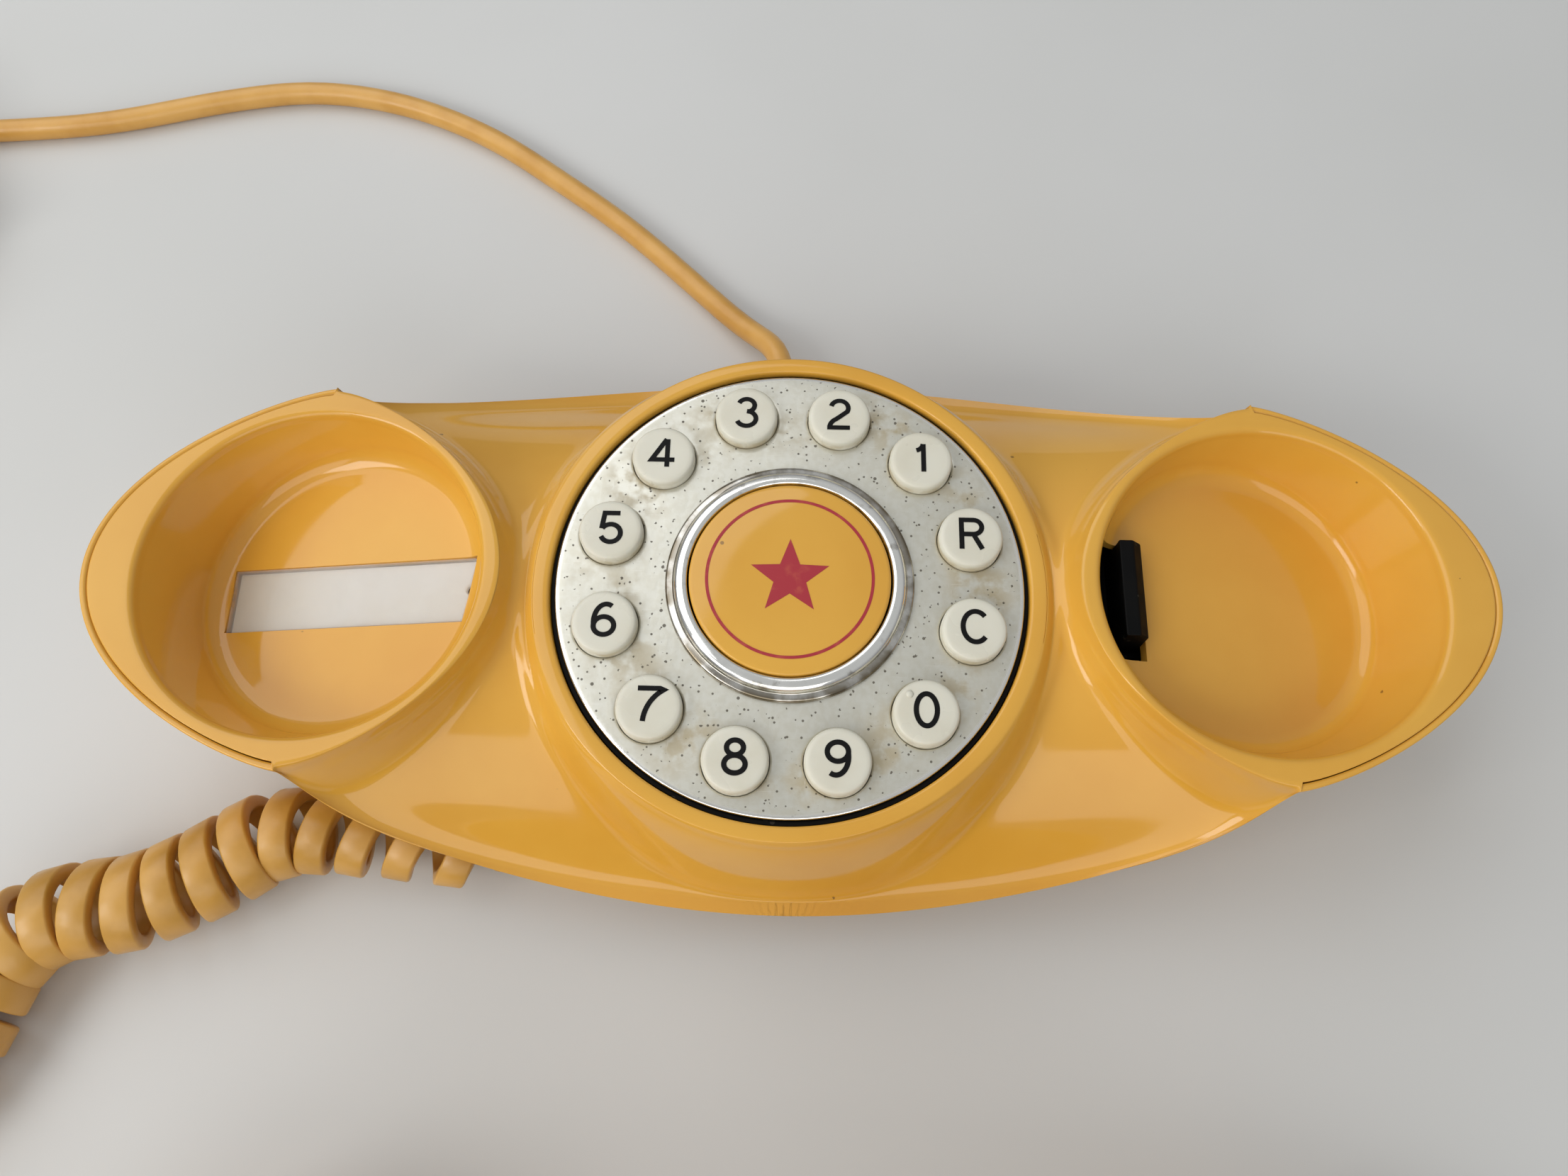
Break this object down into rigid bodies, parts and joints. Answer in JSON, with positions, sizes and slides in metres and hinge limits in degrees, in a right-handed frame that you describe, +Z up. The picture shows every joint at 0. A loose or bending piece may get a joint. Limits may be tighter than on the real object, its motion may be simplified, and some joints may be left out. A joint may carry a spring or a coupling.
{
  "type": "novelty shaped telephone",
  "caption": "Boat-shaped novelty desk telephone with a round push-button dial between cups for its handset, a curly handset cord and a coiled line cord.",
  "frame": {"origin": "on the table under the centre of the dial", "axes": "+X from the label cup toward the hook cup, +Y toward the line cord's exit at the back, +Z up"},
  "size_m": [0.3798, 0.2942, 0.0552],
  "materials": {
    "body_plastic": "moulded warm yellow, polished",
    "key_plastic": "ivory key caps",
    "disc_plastic": "yellow disc with a printed star",
    "plate_metal": "silver dial plate, lightly pitted",
    "ring_chrome": "polished ring",
    "black_plastic": "black moulding",
    "rubber": "moulded rubber",
    "board": "glass-fibre circuit board",
    "parts_dark": "components",
    "steel": "zinc-plated steel",
    "capsule_metal": "pressed capsule",
    "window_clear": "clear window",
    "card": "paper card",
    "cord_plastic": "soft yellow cord sheath",
    "plug_plastic": "ivory plug",
    "contact_brass": "contacts"
  },
  "bodies": {
    "base": {"top_cover": "body_plastic", "bottom_shell": "body_plastic", "dial_plate": "plate_metal", "centre_ring": "ring_chrome", "centre_disc": "disc_plastic", "hook_spring": "steel", "hook_bracket": "black_plastic", "hook_switch": "parts_dark", "label_window": "window_clear", "label_card": "card", "main_board": "board", "board_parts": "parts_dark", "ringer": "parts_dark", "ballast_plate": "steel", "cover_screws": "steel", "feet": "rubber", "line_relief": "cord_plastic", "line_cord": "cord_plastic", "line_coil": "cord_plastic", "coil_tie": "black_plastic", "line_plug": "plug_plastic", "plug_contacts": "contact_brass", "curl_relief_base": "cord_plastic", "curl_cord": "cord_plastic", "key_carrier": "black_plastic", "key_mat": "rubber", "key_board": "board", "key_board_screws": "steel"},
    "button_1": {"key_1": "key_plastic"},
    "button_2": {"key_2": "key_plastic"},
    "button_3": {"key_3": "key_plastic"},
    "button_4": {"key_4": "key_plastic"},
    "button_5": {"key_5": "key_plastic"},
    "button_6": {"key_6": "key_plastic"},
    "button_7": {"key_7": "key_plastic"},
    "button_8": {"key_8": "key_plastic"},
    "button_9": {"key_9": "key_plastic"},
    "button_0": {"key_0": "key_plastic"},
    "button_r": {"key_r": "key_plastic"},
    "button_c": {"key_c": "key_plastic"},
    "hook": {"hook_plunger": "black_plastic"},
    "handset": {"handset_upper": "body_plastic", "handset_lower": "body_plastic", "ear_cap": "body_plastic", "mouth_cap": "body_plastic", "receiver_capsule": "capsule_metal", "microphone_capsule": "capsule_metal", "handset_board": "board", "handset_screws": "steel", "curl_relief_handset": "cord_plastic"}
  },
  "joints": [
    {"name": "press_1", "type": "slide", "parent": "base", "child": "button_1", "axis": [0, 0, 1], "range_m": [-0.0015, 0], "stiffness_N_per_m": 300},
    {"name": "press_2", "type": "slide", "parent": "base", "child": "button_2", "axis": [0, 0, 1], "range_m": [-0.0015, 0], "stiffness_N_per_m": 300},
    {"name": "press_3", "type": "slide", "parent": "base", "child": "button_3", "axis": [0, 0, 1], "range_m": [-0.0015, 0], "stiffness_N_per_m": 300},
    {"name": "press_4", "type": "slide", "parent": "base", "child": "button_4", "axis": [0, 0, 1], "range_m": [-0.0015, 0], "stiffness_N_per_m": 300},
    {"name": "press_5", "type": "slide", "parent": "base", "child": "button_5", "axis": [0, 0, 1], "range_m": [-0.0015, 0], "stiffness_N_per_m": 300},
    {"name": "press_6", "type": "slide", "parent": "base", "child": "button_6", "axis": [0, 0, 1], "range_m": [-0.0015, 0], "stiffness_N_per_m": 300},
    {"name": "press_7", "type": "slide", "parent": "base", "child": "button_7", "axis": [0, 0, 1], "range_m": [-0.0015, 0], "stiffness_N_per_m": 300},
    {"name": "press_8", "type": "slide", "parent": "base", "child": "button_8", "axis": [0, 0, 1], "range_m": [-0.0015, 0], "stiffness_N_per_m": 300},
    {"name": "press_9", "type": "slide", "parent": "base", "child": "button_9", "axis": [0, 0, 1], "range_m": [-0.0015, 0], "stiffness_N_per_m": 300},
    {"name": "press_0", "type": "slide", "parent": "base", "child": "button_0", "axis": [0, 0, 1], "range_m": [-0.0015, 0], "stiffness_N_per_m": 300},
    {"name": "press_r", "type": "slide", "parent": "base", "child": "button_r", "axis": [0, 0, 1], "range_m": [-0.0015, 0], "stiffness_N_per_m": 300},
    {"name": "press_c", "type": "slide", "parent": "base", "child": "button_c", "axis": [0, 0, 1], "range_m": [-0.0015, 0], "stiffness_N_per_m": 300},
    {"name": "hook_press", "type": "slide", "parent": "base", "child": "hook", "axis": [0, 0, 1], "range_m": [-0.0035, 0], "stiffness_N_per_m": 200, "deforming": ["hook_spring"]},
    {"name": "handset_lift", "type": "slide", "parent": "base", "child": "handset", "axis": [0, 0, 1], "range_m": [0, 0.12]}
  ]
}
